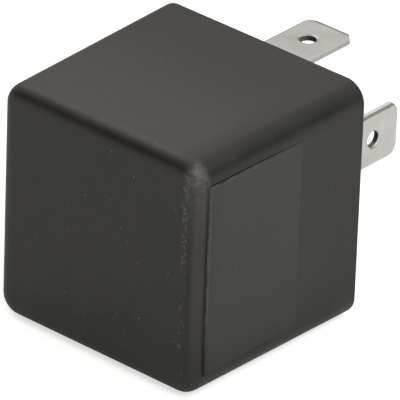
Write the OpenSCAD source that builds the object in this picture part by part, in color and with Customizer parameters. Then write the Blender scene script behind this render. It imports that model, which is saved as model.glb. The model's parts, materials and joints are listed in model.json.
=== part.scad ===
// Plug-in automotive relay with changeover contacts.
// The relay lies on one flat side of its cap: +Y runs along the blades, +Z towards the
// blade of the make contact, +X towards the label side. The origin is the centre of the
// underside of the base, which seats on the socket.
// Each sub-part is drawn upright, with z towards the crown of the cap, and laid down by lay().

/* [Cap] */
// Width of the cap at its rim, across the label side
cap_w = 28; // [27.4:0.1:32]
// Height of the cap at its rim
cap_h = 27.7; // [27.2:0.1:32]
// Width of the cap at its crown
crown_w = 27; // [26.4:0.1:27.4]
// Height of the cap at its crown
crown_h = 27.2; // [26.4:0.1:27.2]
// Depth of the cap, from rim to crown
cap_depth = 25.4; // [24:0.1:32]
// Wall thickness of the cap
cap_wall = 1.2; // [0.8:0.1:1.5]
// Radius of the four long edges
cap_edge_r = 2.4; // [1.8:0.1:3]
// Radius of the edge round the crown
crown_edge_r = 1.5; // [0.6:0.1:2]
// Distance from the crown at which the label panel dies into the drafted side
panel_run = 16; // [12:0.5:20]
// Distance of the label panel's edge from the crown
panel_inset = 1.65; // [0.8:0.05:3]
// Room between the panel's long edges and the start of the rounded edges
panel_margin = 0.25; // [0.1:0.05:2]
// Corner radius of the label panel
panel_corner_r = 0.4; // [0.2:0.1:1]
// Thickness of the ribs that stop the base inside the cap
stop_rib_w = 1; // [0.6:0.1:1.5]
// How far those ribs reach towards the crown
stop_rib_len = 9; // [4:0.5:14]
// Height of those ribs above the cap's inner wall at the rim
stop_rib_reach = 0.7; // [0.5:0.1:1]
// Distance of the ribs on the two side walls from the cap's corners
stop_rib_row = 5.5; // [4:0.5:7]
// Distance of the ribs on the upper and lower walls from the cap's corners
stop_rib_col = 4; // [3.5:0.5:6]

/* [Base] */
// Thickness of the base plate
base_t = 4; // [3.6:0.1:5]
// Clearance between the base and the cap at the rim
base_gap = 0.2; // [0.1:0.05:0.3]
// Clearance between the base and the ribs that stop it
stop_gap = 0.05; // [0.02:0.01:0.1]
// Radius of the snap beads on the edges of the base
bead_r = 0.3; // [0.2:0.05:0.4]
// Length of each snap bead
bead_len = 9; // [5:0.5:12]
// Height of the snap beads above the underside
bead_z = 2; // [1.5:0.1:2.5]
// Clearance of the snap groove round a bead
bead_gap = 0.08; // [0.05:0.01:0.12]
// Depth of the cored pockets in the underside
core_depth = 1; // [0.5:0.1:1.2]
// Distance of the cored pockets from the middle line
core_inner = 4.6; // [4:0.1:5.4]
// Wall left between the cored pockets and the edge of the base
core_rim = 1.05; // [0.9:0.05:1.8]
// Height of the two lower pockets
core_low_h = 6.4; // [4:0.1:7]
// Height of the two upper pockets
core_high_h = 2.6; // [2:0.1:2.8]
// Distance of the upper pockets below the row of the make contact's blade
core_high_drop = 0.9; // [0.7:0.1:1.1]
// Corner radius of the pockets
core_r = 0.6; // [0.3:0.1:1]
// Clearance of each blade in its slot
slot_gap = 0.05; // [0.02:0.01:0.1]
// Depth to which the break terminal's foot is sunk into the base
foot_sink = 2; // [1.8:0.1:2.2]
// Distance of that foot's wide part from the make contact's blade
foot_step = 3.4; // [3:0.1:3.8]
// Room left round and under the core's staked head
stake_room = 0.3; // [0.2:0.05:0.4]
// Gap between the common terminal's foot and the rails that carry the yoke
rail_gap = 0.4; // [0.2:0.05:0.6]
// Distance of those rails from the middle of the break contact's blade
rail_stop = 1.1; // [0.9:0.1:1.6]
// Height of the walls that back the terminals and the yoke, above the base plate
guard_h = 4.5; // [3:0.5:6]
// Thickness of those walls
guard_t = 1; // [0.7:0.1:1.1]

/* [Blades] */
// Width of a blade
blade_w = 6.3; // [6:0.1:6.5]
// Thickness of a blade
blade_t = 0.8; // [0.7:0.05:0.9]
// Free length of a blade below the base
blade_len = 11.5; // [9:0.1:13]
// Cut of the tip's corners, across the blade
tip_cut_w = 1; // [0.6:0.05:1.4]
// Cut of the tip's corners, along the blade
tip_cut_len = 0.95; // [0.6:0.05:1.6]
// Width of the coined bevel along a blade's edges
edge_coin_w = 0.35; // [0.2:0.05:0.5]
// Depth of the coined bevel at a blade's edges
edge_coin_t = 0.16; // [0.1:0.02:0.22]
// Length of the coined bevel at a blade's tip
tip_coin_len = 0.6; // [0.4:0.1:1]
// Diameter of the latch hole
latch_hole_d = 1.8; // [1.6:0.1:2.4]
// Distance of the latch hole from the tip
latch_hole_tip = 4; // [3:0.1:5]
// Width of the coined ring round the latch hole
hole_coin = 0.25; // [0.1:0.05:0.4]
// Depth of that ring
hole_coin_t = 0.1; // [0.05:0.01:0.15]
// Inner radius at which the terminals are bent
bend_r = 0.25; // [0.15:0.05:0.4]
// Reach of the stop shoulders beyond a blade's edges
shoulder = 0.45; // [0.3:0.05:0.5]
// Height of the stop shoulders
shoulder_h = 1; // [0.6:0.1:1.4]
// Width of a coil terminal's tag
tag_w = 2.2; // [1.8:0.1:2.4]
// Distance of the tag from the middle of its blade
tag_set = 2; // [1.6:0.1:2]
// Free length of the tag above the wrapped wire
tag_spare = 0.5; // [0.3:0.1:0.8]
// Reach of the common terminal's foot beyond the core's spigot
foot_lap = 0.3; // [0.2:0.05:0.4]

/* [Blade pattern] */
// Row of the make contact's blade
row_make = 10.8; // [10.6:0.05:10.9]
// Row of the break contact's blade
row_break = 2.95; // [2.8:0.05:3.1]
// Row of the common blade
row_common = -7; // [-7.2:0.05:-6.6]
// Row of the two coil blades
row_coil = 2.8; // [2.7:0.05:3.2]
// Distance between the two coil blades
coil_pitch = 18; // [17.4:0.1:18.4]

/* [Magnet] */
// Place of the coil's axis above the centre of the base
coil_row = -0.7; // [-0.9:0.05:-0.4]
// Diameter of the core's shank
core_d = 7; // [6:0.1:7.4]
// Diameter of the pole face
pole_d = 9.5; // [8.5:0.1:10]
// Thickness of the pole head
pole_t = 1.2; // [0.8:0.1:1.5]
// Diameter of the core's staked spigot
spigot_d = 4; // [3.4:0.1:4.2]
// Thickness of the staked head under the yoke
stake_t = 0.6; // [0.4:0.1:0.8]
// Overhang of the staked head round the spigot
stake_lip = 0.5; // [0.4:0.05:0.6]
// Width of the bobbin's flanges
flange_w = 16; // [15:0.1:16.2]
// Depth of the bobbin's flanges
flange_h = 15.4; // [14.8:0.1:15.6]
// Thickness of the bobbin's flanges
flange_t = 0.9; // [0.7:0.1:1.2]
// Corner radius of the bobbin's flanges
flange_r = 2; // [1:0.1:3]
// Radius of the notches in the upper flange
notch_r = 1.6; // [1:0.1:2]
// Wall of the bobbin's tube
bobbin_wall = 0.8; // [0.6:0.1:1]
// Thickness of the wound copper
winding_t = 2.9; // [2.4:0.1:3.1]
// Diameter of the coil wire at its wrapped ends
wire_d = 0.4; // [0.3:0.05:0.5]
// Turns wrapped round each coil terminal
wrap_turns = 4; // [2:1:5]
// Length of the winding's ends that lies sunk in the winding
lead_sink = 0.6; // [0.4:0.1:1]
// Gap between the bobbin and the yoke
coil_gap = 0.4; // [0.3:0.05:0.5]
// Thickness of the yoke
yoke_t = 1.8; // [1.6:0.1:2]
// Width of the yoke
yoke_w = 12; // [11:0.1:12.4]
// Outer radius of the yoke's bend
yoke_bend_r = 2; // [1.9:0.1:2.4]
// Radius of the yoke's top edge behind the armature
yoke_lip_r = 0.6; // [0.5:0.05:0.7]
// Length of the yoke's foot beyond the coil's axis
yoke_toe = 3.5; // [3.1:0.1:3.6]
// Width of the ears that locate the armature
ear_w = 0.8; // [0.6:0.1:1]
// Height of those ears
ear_h = 1.2; // [0.8:0.1:1.4]

/* [Armature and contacts] */
// Angle through which the armature turns, in degrees
armature_tilt = 3; // [2:0.25:3.5]
// Thickness of the armature
armature_t = 1.5; // [1.3:0.1:1.6]
// Length of the armature
armature_len = 15.5; // [14.8:0.1:15.8]
// Cut of the armature's front corners, across it
nose_cut_w = 2.5; // [1.5:0.1:3]
// Cut of the armature's front corners, along it
nose_cut_len = 2; // [1.5:0.1:3]
// Distance of the armature's rear bevel from the hinge bend of the contact spring
bevel_set = 0.1; // [0.05:0.05:0.2]
// Running gap under the armature at the yoke and the pole
hinge_gap = 0.03; // [0.02:0.01:0.06]
// Side clearance of the armature between the yoke's ears
ear_gap = 0.2; // [0.15:0.05:0.3]
// Thickness of the contact spring
spring_t = 0.3; // [0.2:0.05:0.35]
// Inner radius of the contact spring's hinge bend
spring_bend_r = 2; // [1.95:0.05:2.2]
// Width of each of the contact spring's hinge legs
spring_leg_w = 2.4; // [2:0.1:2.6]
// Gap between the two hinge legs
spring_window = 4.2; // [3.8:0.1:4.6]
// Length of the contact spring down the back of the yoke
spring_tail = 9; // [8:0.1:9.4]
// Height of the tail's full width above the yoke's rivets
tail_shoulder = 2.4; // [1.8:0.1:2.6]
// Distance along the armature from the hinge bend to the full width
root_set = 0.8; // [0.6:0.1:0.8]
// Length of the full width beyond the armature's rivets
waist_set = 2.6; // [2:0.1:3]
// Length of the taper from the full width to the neck
neck_run = 3.6; // [3:0.1:4]
// Distance of the contacts from the make terminal's riser
contact_set = 2.4; // [2.3:0.05:2.6]
// Radius of the contact spring's tip
spring_tip_r = 1.9; // [1.7:0.05:1.95]
// Radius of the contact heads
contact_r = 1.5; // [1.2:0.05:1.6]
// Thickness of each contact head
contact_t = 0.9; // [0.6:0.05:1]
// Dome radius of the moving contact's faces
contact_dome_r = 5; // [4:0.5:8]
// Gap left between contacts that meet
contact_gap = 0.04; // [0.02:0.01:0.06]
// Radius of the contact stems
stem_r = 0.8; // [0.6:0.05:0.9]
// Thickness of the closed heads behind the fixed contacts
tail_t = 0.4; // [0.3:0.05:0.5]
// Width of the make terminal's riser
riser_make_w = 4.2; // [4:0.1:4.4]
// Width of the break terminal's riser
riser_break_w = 3.2; // [2.8:0.1:3.4]
// Sideways gap between the make blade and the break terminal's riser
riser_gap = 1.05; // [0.9:0.05:1.1]
// Clearance between the break contact's rivet and the cap
head_gap = 0.55; // [0.4:0.05:0.8]
// Radius of the rivets' stems
rivet_r = 0.75; // [0.6:0.05:0.8]
// Radius of the rivets' heads
rivet_head_r = 1.25; // [1.1:0.05:1.3]
// Thickness of the rivets' heads
rivet_head_t = 0.5; // [0.3:0.05:0.6]
// Radius of the rivets' heads at the top
rivet_top_r = 0.8; // [0.6:0.05:1]
// Half the distance between the two rivets of a pair
rivet_x = 2.6; // [2.4:0.1:2.8]
// Distance of the armature's rivets from its hinge edge
rivet_s = 3.4; // [3.2:0.1:3.6]
// Distance of the yoke's rivets above the end of the contact spring's tail
rivet_tail = 2.4; // [2:0.1:3]
// Clearance of a rivet in the contact spring
rivet_gap = 0.05; // [0.03:0.01:0.08]

/* [Hidden] */

fine = 64; // facets of a full circle on true curves
coarse = 32; // facets of a full circle on blended shells
over = 0.5; // overshoot of a cut past the face it opens
panel_hold = 0.7; // share of the cap's wall that the panel's block is sunk in
bend_steps = 16; // flats round the hinge bend of the contact spring

// Sizes that come from an angle are kept to a hundredth of a millimetre
function hundredth(size) = ceil(size * 100) / 100;

// Slope of the cap's drafted sides
slope_x = (cap_w - crown_w) / 2 / cap_depth;
slope_y = (cap_h - crown_h) / 2 / cap_depth;
panel_x = crown_w / 2 + slope_x * panel_run;

// Outline of the base
base_w = cap_w - 2 * cap_wall - 2 * base_gap - 2 * slope_x * base_t;
base_h = cap_h - 2 * cap_wall - 2 * base_gap - 2 * slope_y * base_t;
base_corner_r = cap_edge_r - cap_wall;

// Levels above the underside of the base, from the base up to the pole face
foot_z = base_t + blade_t;
coil_z = foot_z + yoke_t;

// Heights of the moving contact in the armature's own frame, above its underside
leaf_n = armature_t + spring_t;
dome_n = leaf_n + contact_t - contact_dome_r;
spring_mid = spring_t / 2;

// Rows of the magnet
yoke_back = coil_row - flange_h / 2 - coil_gap - yoke_t;
pivot_y = yoke_back + yoke_lip_r;
contact_row = row_make - contact_set;
contact_s = contact_row - pivot_y;

// The pole face is set so that the break contact's rivet clears the cap
stack = hinge_gap + contact_s * sin(armature_tilt) + dome_n * cos(armature_tilt)
    + contact_dome_r + contact_gap + contact_t + blade_t + tail_t + head_gap;
pole_z = cap_depth - cap_wall - hundredth(stack);
pivot_z = pole_z + hinge_gap;
flange_z = pole_z - pole_t;

// Contact faces
make_face_z = pivot_z + armature_t - contact_t - contact_gap;
break_row = hundredth(pivot_y + contact_s * cos(armature_tilt) - dome_n * sin(armature_tilt));
break_face_z = pivot_z + contact_dome_r + contact_gap
    + hundredth(contact_s * sin(armature_tilt) + dome_n * cos(armature_tilt));

// Risers of the fixed contacts
riser_x = blade_w / 2 + riser_gap + riser_break_w / 2;
riser_back = row_make + blade_t / 2;

// Hinge bend of the contact spring: centre of the bend, measured from the hinge edge
mid_r = spring_bend_r + spring_mid;
bend_y = -yoke_lip_r - spring_mid + mid_r;
bend_z = (armature_t + spring_mid + sin(armature_tilt) * (bend_y - mid_r * sin(armature_tilt)))
    / cos(armature_tilt) - mid_r * cos(armature_tilt);
bend_s = (bend_y - mid_r * sin(armature_tilt)) * cos(armature_tilt)
    + (bend_z + mid_r * cos(armature_tilt)) * sin(armature_tilt);
spring_back = yoke_back - spring_t;
spring_end_z = pivot_z + bend_z - spring_tail;
yoke_rivet_z = spring_end_z + rivet_tail;
spring_wide = spring_window + 2 * spring_leg_w;
spring_leg_z = yoke_rivet_z + tail_shoulder;
spring_root = bend_s + root_set;

// Tags of the coil terminals
tag_row = row_coil + tag_set;
wrap_z = coil_z + flange_t + wire_d;
tag_top = wrap_z + wrap_turns * wire_d + tag_spare;
winding_r = core_d / 2 + bobbin_wall + winding_t;

module lay() {
    rotate([90, 0, 0]) children();
}

// Puts its children in the armature's frame: x across, y from the hinge edge, z above the plate
module on_armature() {
    translate([0, pivot_y, pivot_z]) rotate([armature_tilt, 0, 0]) children();
}

// Extrudes a profile drawn in (y, z) across x, w wide and centred on x0
module across(w, x0 = 0) {
    translate([x0 - w / 2, 0, 0]) rotate([90, 0, 90]) linear_extrude(w) children();
}

// Extrudes an outline drawn in (x, z) through y, from y0 by t
module through(t, y0) {
    translate([0, y0 + t, 0]) rotate([90, 0, 0]) linear_extrude(t) children();
}

module rounded_rect(w, h, r) {
    square([w, h - 2 * r], center = true);
    square([w - 2 * r, h], center = true);
    for (sx = [-1, 1], sy = [-1, 1])
        translate([sx * (w / 2 - r), sy * (h / 2 - r)]) circle(r, $fn = fine);
}

// Quarter of a bent strip, inner radius bend_r, in the quadrant given by sx and sy
module bend_quarter(sx, sy, t = blade_t, r = bend_r) {
    intersection() {
        difference() {
            circle(r + t, $fn = fine);
            circle(r, $fn = fine);
        }
        translate([sx < 0 ? -r - t : 0, sy < 0 ? -r - t : 0]) square(r + t);
    }
}

// Four corner discs of the cap's crown or of its cavity's floor
module corner_discs(w, h, r, edge_r) {
    for (sx = [-1, 1], sy = [-1, 1])
        translate([sx * (w / 2 - r), sy * (h / 2 - r), 0])
            rotate_extrude($fn = coarse) {
                translate([r - edge_r, -edge_r]) intersection() {
                    circle(edge_r, $fn = coarse);
                    square(edge_r);
                }
                translate([0, -edge_r]) square([r - edge_r, edge_r]);
            }
}

// Drafted block with rounded long edges and a rounded top, rim on z = 0
module drafted_block(w0, h0, w1, h1, depth, r, edge_r) {
    hull() {
        translate([0, 0, depth]) corner_discs(w1, h1, r, edge_r);
        for (sx = [-1, 1], sy = [-1, 1])
            translate([sx * (w0 / 2 - r), sy * (h0 / 2 - r), 0])
                cylinder(r = r, h = edge_r / 2, $fn = coarse);
    }
}

module cap() {
    color("#2c2b2a") lay() {
        cavity_r = cap_edge_r - cap_wall;
        cavity_edge_r = cavity_r / 2;
        difference() {
            union() {
                drafted_block(cap_w, cap_h, crown_w, crown_h, cap_depth, cap_edge_r, crown_edge_r);
                label_panel();
            }
            difference() {
                translate([0, 0, -over])
                    drafted_block(cap_w - 2 * cap_wall, cap_h - 2 * cap_wall,
                        crown_w - 2 * cap_wall, crown_h - 2 * cap_wall,
                        cap_depth - cap_wall + over, cavity_r, cavity_edge_r);
                stop_ribs();
            }
            snap_lines(bead_r + bead_gap, bead_len + 2 * bead_gap);
        }
    }
}

// The flat panel for the label stands proud of the drafted side at the crown and runs into it
module label_panel() {
    panel_back = cap_wall * panel_hold;
    panel_top = cap_depth - panel_inset;
    panel_low = cap_depth - panel_run - cap_wall;
    panel_h = crown_h - 2 * (cap_edge_r + panel_margin);
    translate([panel_x - panel_back, 0, (panel_top + panel_low) / 2])
        rotate([90, 0, 90])
            linear_extrude(panel_back)
                rounded_rect(panel_h, panel_top - panel_low, panel_corner_r);
}

// Ribs inside the cap that stop the base at its depth
module stop_ribs() {
    rib_row = cap_h / 2 - stop_rib_row;
    rib_col = cap_w / 2 - stop_rib_col;
    rib_x = cap_w / 2 - cap_wall - stop_rib_reach;
    rib_y = cap_h / 2 - cap_wall - stop_rib_reach;
    reach = stop_rib_reach + cap_wall / 2;
    rib_z = base_t + stop_gap;
    for (sx = [-1, 1], sy = [-1, 1]) {
        translate([sx > 0 ? rib_x : -rib_x - reach, sy * rib_row - stop_rib_w / 2, rib_z])
            cube([reach, stop_rib_w, stop_rib_len]);
        translate([sx * rib_col - stop_rib_w / 2, sy > 0 ? rib_y : -rib_y - reach, rib_z])
            cube([stop_rib_w, reach, stop_rib_len]);
    }
}

// The four snap beads of the base, and the grooves of the cap that hold them
module snap_lines(r, len) {
    for (s = [-1, 1]) {
        translate([s * base_w / 2, 0, bead_z])
            rotate([90, 0, 0]) cylinder(r = r, h = len, center = true, $fn = fine);
        translate([0, s * base_h / 2, bead_z])
            rotate([0, 90, 0]) cylinder(r = r, h = len, center = true, $fn = fine);
    }
}

module base() {
    color("#333231") lay() difference() {
        union() {
            linear_extrude(base_t) rounded_rect(base_w, base_h, base_corner_r);
            snap_lines(bead_r, bead_len);
            yoke_rails();
            base_guards();
        }
        blade_slots();
        break_foot_pocket();
        underside_cores();
        translate([0, coil_row, base_t - stake_t - stake_room])
            cylinder(d = spigot_d + 2 * stake_lip + 2 * stake_room,
                h = stake_t + stake_room + over, $fn = fine);
    }
}

// Rails beside the common terminal's foot, which carry the yoke
module yoke_rails() {
    inner = blade_w / 2 + rail_gap;
    for (sx = [-1, 1])
        translate([sx > 0 ? inner : -yoke_w / 2, yoke_back + yoke_bend_r, 0])
            cube([yoke_w / 2 - inner, row_break - yoke_back - yoke_bend_r - rail_stop, foot_z]);
}

// Walls that back the yoke and the risers of the fixed contacts
module base_guards() {
    top = base_t + guard_h;
    wide = riser_x + riser_break_w / 2 + blade_w / 2;
    translate([-blade_w / 2, riser_back + slot_gap, 0])
        cube([wide, base_h / 2 - riser_back - slot_gap, top]);
    for (sx = [-1, 1])
        translate([sx > 0 ? yoke_w / 2 + slot_gap : -yoke_w / 2 - slot_gap - guard_t, yoke_back, 0])
            cube([guard_t, yoke_t, top]);
}

module slot(w, t) {
    translate([-w / 2 - slot_gap, -t / 2 - slot_gap, -over])
        cube([w + 2 * slot_gap, t + 2 * slot_gap, base_t + 2 * over]);
}

module blade_slots() {
    for (row = [row_make, row_common])
        translate([0, row, 0]) slot(blade_w, blade_t);
    translate([0, row_break, 0]) slot(blade_w, blade_t);
    for (sx = [-1, 1])
        translate([sx * coil_pitch / 2, row_coil, 0]) slot(blade_t, blade_w);
    // Room for the bend of the common terminal's foot
    bend_relief(row_common, base_t);
}

// Small bevel that clears the inner side of a bend, at the level of the floor it lies on
module bend_relief(row, z) {
    translate([-blade_w / 2 - slot_gap, row + blade_t / 2, z - bend_r])
        cube([blade_w + 2 * slot_gap, bend_r, 2 * bend_r]);
}

// The break terminal's foot, as seen from above, grown by g
module break_foot_plan(g = 0) {
    left = -blade_w / 2 - g;
    right = riser_x + riser_break_w / 2 + g;
    bottom = row_break - blade_t / 2 - g;
    step_row = row_make - blade_t / 2 - foot_step + g;
    translate([left, bottom]) square([right - left, step_row - bottom]);
    translate([riser_x - riser_break_w / 2 - g, bottom])
        square([riser_break_w + 2 * g, riser_back + g - bottom]);
}

module break_foot_pocket() {
    translate([0, 0, foot_sink])
        linear_extrude(base_t) break_foot_plan(slot_gap);
    bend_relief(row_break, foot_sink);
}

// Cored pockets in the underside, clear of the blades
module underside_cores() {
    wide = base_w / 2 - core_rim - core_inner;
    for (sx = [-1, 1]) translate([sx * (core_inner + wide / 2), 0, -over])
        linear_extrude(core_depth + over) {
            translate([0, row_common]) rounded_rect(wide, core_low_h, core_r);
            translate([0, row_make - core_high_drop]) rounded_rect(wide, core_high_h, core_r);
        }
}

// A 6.3 mm blade below z = 0, width along x
module blade() {
    half = blade_w / 2;
    outline = [[-half, 0], [-half, tip_cut_len - blade_len], [tip_cut_w - half, -blade_len],
        [half - tip_cut_w, -blade_len], [half, tip_cut_len - blade_len], [half, 0]];
    face = blade_t / 2;
    edge = face - edge_coin_t;
    section = [[-half, -edge], [edge_coin_w - half, -face], [half - edge_coin_w, -face],
        [half, -edge], [half, edge], [half - edge_coin_w, face], [edge_coin_w - half, face],
        [-half, edge]];
    side = [[-face, 0], [-face, tip_coin_len - blade_len], [-edge, -blade_len],
        [edge, -blade_len], [face, tip_coin_len - blade_len], [face, 0]];
    difference() {
        intersection() {
            through(blade_t, -face) polygon(outline);
            translate([0, 0, -blade_len]) linear_extrude(blade_len) polygon(section);
            across(blade_w) polygon(side);
        }
        translate([0, 0, latch_hole_tip - blade_len]) rotate([90, 0, 0]) {
            cylinder(d = latch_hole_d, h = 2 * blade_t, center = true, $fn = fine);
            for (s = [0, 180])
                rotate([s, 0, 0]) translate([0, 0, face - hole_coin_t])
                    cylinder(d1 = latch_hole_d, d2 = latch_hole_d + 2 * hole_coin,
                        h = hole_coin_t, $fn = fine);
        }
    }
}

// Flat strip in the plane of a blade, from z0 to z1, w wide
module strip(w, z0, z1) {
    translate([-w / 2, -blade_t / 2, z0]) cube([w, blade_t, z1 - z0]);
}

module terminal_30() {
    bend_row = row_common + blade_t / 2 + bend_r;
    color("#c9cac5") lay() difference() {
        union() {
            translate([0, row_common, 0]) {
                blade();
                strip(blade_w, 0, base_t - bend_r);
            }
            across(blade_w) translate([bend_row, base_t - bend_r]) bend_quarter(-1, 1);
            translate([-blade_w / 2, bend_row, base_t])
                cube([blade_w, coil_row + spigot_d / 2 + foot_lap - bend_row, blade_t]);
        }
        translate([0, coil_row, 0])
            cylinder(d = spigot_d + 2 * slot_gap, h = 2 * foot_z, $fn = fine);
    }
}

// A coil terminal: blade, stop shoulders and the tag for the wire
module coil_terminal(side) {
    color("#c9cac5") lay() translate([side * coil_pitch / 2, row_coil, 0]) rotate([0, 0, 90]) {
        blade();
        strip(blade_w, 0, base_t);
        strip(blade_w + 2 * shoulder, base_t, base_t + shoulder_h);
        translate([tag_row - row_coil, 0, 0]) strip(tag_w, base_t + shoulder_h, tag_top);
    }
}

module terminal_85() { coil_terminal(-1); }
module terminal_86() { coil_terminal(1); }

module terminal_87() {
    pad_top = make_face_z - contact_t;
    bend_row = row_make - blade_t / 2 - bend_r;
    color("#c9cac5") lay() difference() {
        union() {
            translate([0, row_make, 0]) {
                blade();
                strip(blade_w, 0, base_t);
                strip(blade_w + 2 * shoulder, base_t, base_t + shoulder_h);
                strip(riser_make_w, base_t + shoulder_h, pad_top - blade_t - bend_r);
            }
            across(riser_make_w) translate([bend_row, pad_top - blade_t - bend_r])
                bend_quarter(1, 1);
            translate([-riser_make_w / 2, contact_row, pad_top - blade_t])
                cube([riser_make_w, bend_row - contact_row, blade_t]);
            translate([0, contact_row, pad_top - blade_t])
                cylinder(d = riser_make_w, h = blade_t, $fn = fine);
        }
        translate([0, contact_row, pad_top - 2 * blade_t])
            cylinder(r = stem_r, h = 3 * blade_t, $fn = fine);
    }
}

module terminal_87a() {
    low_row = row_break + blade_t / 2 + bend_r;
    high_row = row_make - blade_t / 2 - bend_r;
    pad_z = break_face_z + contact_t;
    right = riser_x + riser_break_w / 2;
    color("#c9cac5") lay() difference() {
        union() {
            translate([0, row_break, 0]) {
                blade();
                strip(blade_w, 0, foot_sink - bend_r);
            }
            across(blade_w) translate([low_row, foot_sink - bend_r]) bend_quarter(-1, 1);
            // Foot along the floor of its pocket in the base
            translate([0, 0, foot_sink]) linear_extrude(blade_t) intersection() {
                break_foot_plan();
                translate([-blade_w, low_row]) square([3 * blade_w, high_row - low_row]);
            }
            // Riser beside the make terminal
            across(riser_break_w, riser_x) {
                translate([high_row, foot_sink + blade_t + bend_r]) bend_quarter(1, -1);
                translate([high_row, pad_z - bend_r]) bend_quarter(1, 1);
            }
            translate([riser_x, row_make, 0])
                strip(riser_break_w, foot_sink + blade_t + bend_r, pad_z - bend_r);
            // Arm over the moving contact
            translate([0, break_row - riser_break_w / 2, pad_z])
                cube([right, riser_break_w, blade_t]);
            translate([riser_x - riser_break_w / 2, break_row, pad_z])
                cube([riser_break_w, high_row - break_row, blade_t]);
            translate([0, break_row, pad_z])
                cylinder(d = riser_break_w, h = blade_t, $fn = fine);
        }
        translate([0, break_row, pad_z - blade_t])
            cylinder(r = stem_r, h = 3 * blade_t, $fn = fine);
    }
}

module yoke() {
    toe_row = coil_row + yoke_toe;
    color("#b9bab8") lay() difference() {
        union() {
            across(yoke_w) difference() {
                union() {
                    translate([yoke_back, foot_z]) square([toe_row - yoke_back, yoke_t]);
                    translate([yoke_back, foot_z]) square([yoke_t, pole_z - foot_z]);
                }
                outer_corner(yoke_back, foot_z, yoke_bend_r, 1);
                outer_corner(yoke_back, pole_z, yoke_lip_r, -1);
            }
            // Ears beside the armature
            for (sx = [-1, 1])
                translate([sx > 0 ? yoke_w / 2 - ear_w : -yoke_w / 2, pivot_y, pole_z - over])
                    cube([ear_w, yoke_t - yoke_lip_r, ear_h + over]);
        }
        translate([0, coil_row, foot_z - over])
            cylinder(d = spigot_d, h = yoke_t + 2 * over, $fn = fine);
        for (sx = [-1, 1])
            translate([sx * rivet_x, yoke_back - over, yoke_rivet_z]) rotate([-90, 0, 0])
                cylinder(r = rivet_r, h = yoke_t + 2 * over, $fn = fine);
    }
}

// What a round of radius r takes off the corner at (y, z), for a corner below (1) or above (-1)
module outer_corner(y, z, r, up) {
    difference() {
        translate([y - over, up > 0 ? z - over : z - r]) square(r + over);
        translate([y + r, z + up * r]) circle(r, $fn = fine);
    }
}

module core() {
    // Half section, from the staked head up to the pole face
    half = [[0, base_t - stake_t], [spigot_d / 2, base_t - stake_t],
        [spigot_d / 2 + stake_lip, base_t], [spigot_d / 2, base_t], [spigot_d / 2, coil_z],
        [core_d / 2, coil_z], [core_d / 2, flange_z], [pole_d / 2, flange_z],
        [pole_d / 2, pole_z], [0, pole_z]];
    color("#c4c5c2") lay() translate([0, coil_row, 0])
        rotate_extrude($fn = fine) polygon(half);
}

module bobbin() {
    hole_d = core_d + 2 * slot_gap;
    color("#d8d2bd") lay() translate([0, coil_row, 0]) difference() {
        union() {
            for (z = [coil_z, flange_z - flange_t])
                translate([0, 0, z]) linear_extrude(flange_t)
                    rounded_rect(flange_w, flange_h, flange_r);
            translate([0, 0, coil_z])
                cylinder(d = core_d + 2 * bobbin_wall, h = flange_z - coil_z, $fn = fine);
        }
        translate([0, 0, coil_z - over])
            cylinder(d = hole_d, h = flange_z - coil_z + 2 * over, $fn = fine);
        // Finger notches in the upper flange
        for (sx = [-1, 1])
            translate([sx * flange_w / 2, 0, flange_z - flange_t - over])
                cylinder(r = notch_r, h = flange_t + 2 * over, $fn = fine);
    }
}

// The winding and its two ends, which run out to the coil terminals and wrap round their tags
module coil_winding() {
    z0 = coil_z + flange_t;
    lead_z = wrap_z + wire_d / 2;
    row = tag_row - coil_row;
    start = hundredth(sqrt(max(winding_r * winding_r - row * row, 0))) - lead_sink;
    end = coil_pitch / 2 - blade_t / 2 - wire_d / 2;
    color("#9a5427") lay() {
        translate([0, coil_row, z0]) difference() {
            cylinder(r = winding_r, h = flange_z - flange_t - z0, $fn = fine);
            translate([0, 0, -over])
                cylinder(d = core_d + 2 * bobbin_wall, h = flange_z, $fn = fine);
        }
        for (side = [0, 1]) mirror([side, 0, 0]) {
            translate([start, tag_row, lead_z]) rotate([0, 90, 0])
                cylinder(d = wire_d, h = end - start, $fn = fine / 2);
            for (turn = [0 : wrap_turns - 1])
                translate([coil_pitch / 2, tag_row, wrap_z + turn * wire_d]) wire_turn();
        }
    }
}

module wire_turn() {
    linear_extrude(wire_d) difference() {
        rounded_rect(blade_t + 2 * wire_d, tag_w + 2 * wire_d, wire_d);
        square([blade_t, tag_w], center = true);
    }
}

module armature() {
    wide = yoke_w / 2;
    rear = wide - ear_w - ear_gap;
    waist = yoke_t - yoke_lip_r + ear_gap;
    nose = wide - nose_cut_w;
    front = armature_len - nose_cut_len;
    plan = [[-rear, 0], [rear, 0], [rear, waist], [wide, waist], [wide, front],
        [nose, armature_len], [-nose, armature_len], [-wide, front], [-wide, waist],
        [-rear, waist]];
    // The rear edge is bevelled to a hinge edge half the plate's thickness high
    bevel_s = bend_s - bevel_set;
    bevel = [[-over, armature_t / 2], [0, armature_t / 2], [bevel_s, armature_t],
        [bevel_s, armature_t + over], [-over, armature_t + over]];
    color("#b4b6b3") lay() on_armature() difference() {
        linear_extrude(armature_t) polygon(plan);
        across(yoke_w + 1) polygon(bevel);
        for (sx = [-1, 1])
            translate([sx * rivet_x, rivet_s, -over])
                cylinder(r = rivet_r, h = armature_t + 2 * over, $fn = fine);
    }
}

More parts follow.
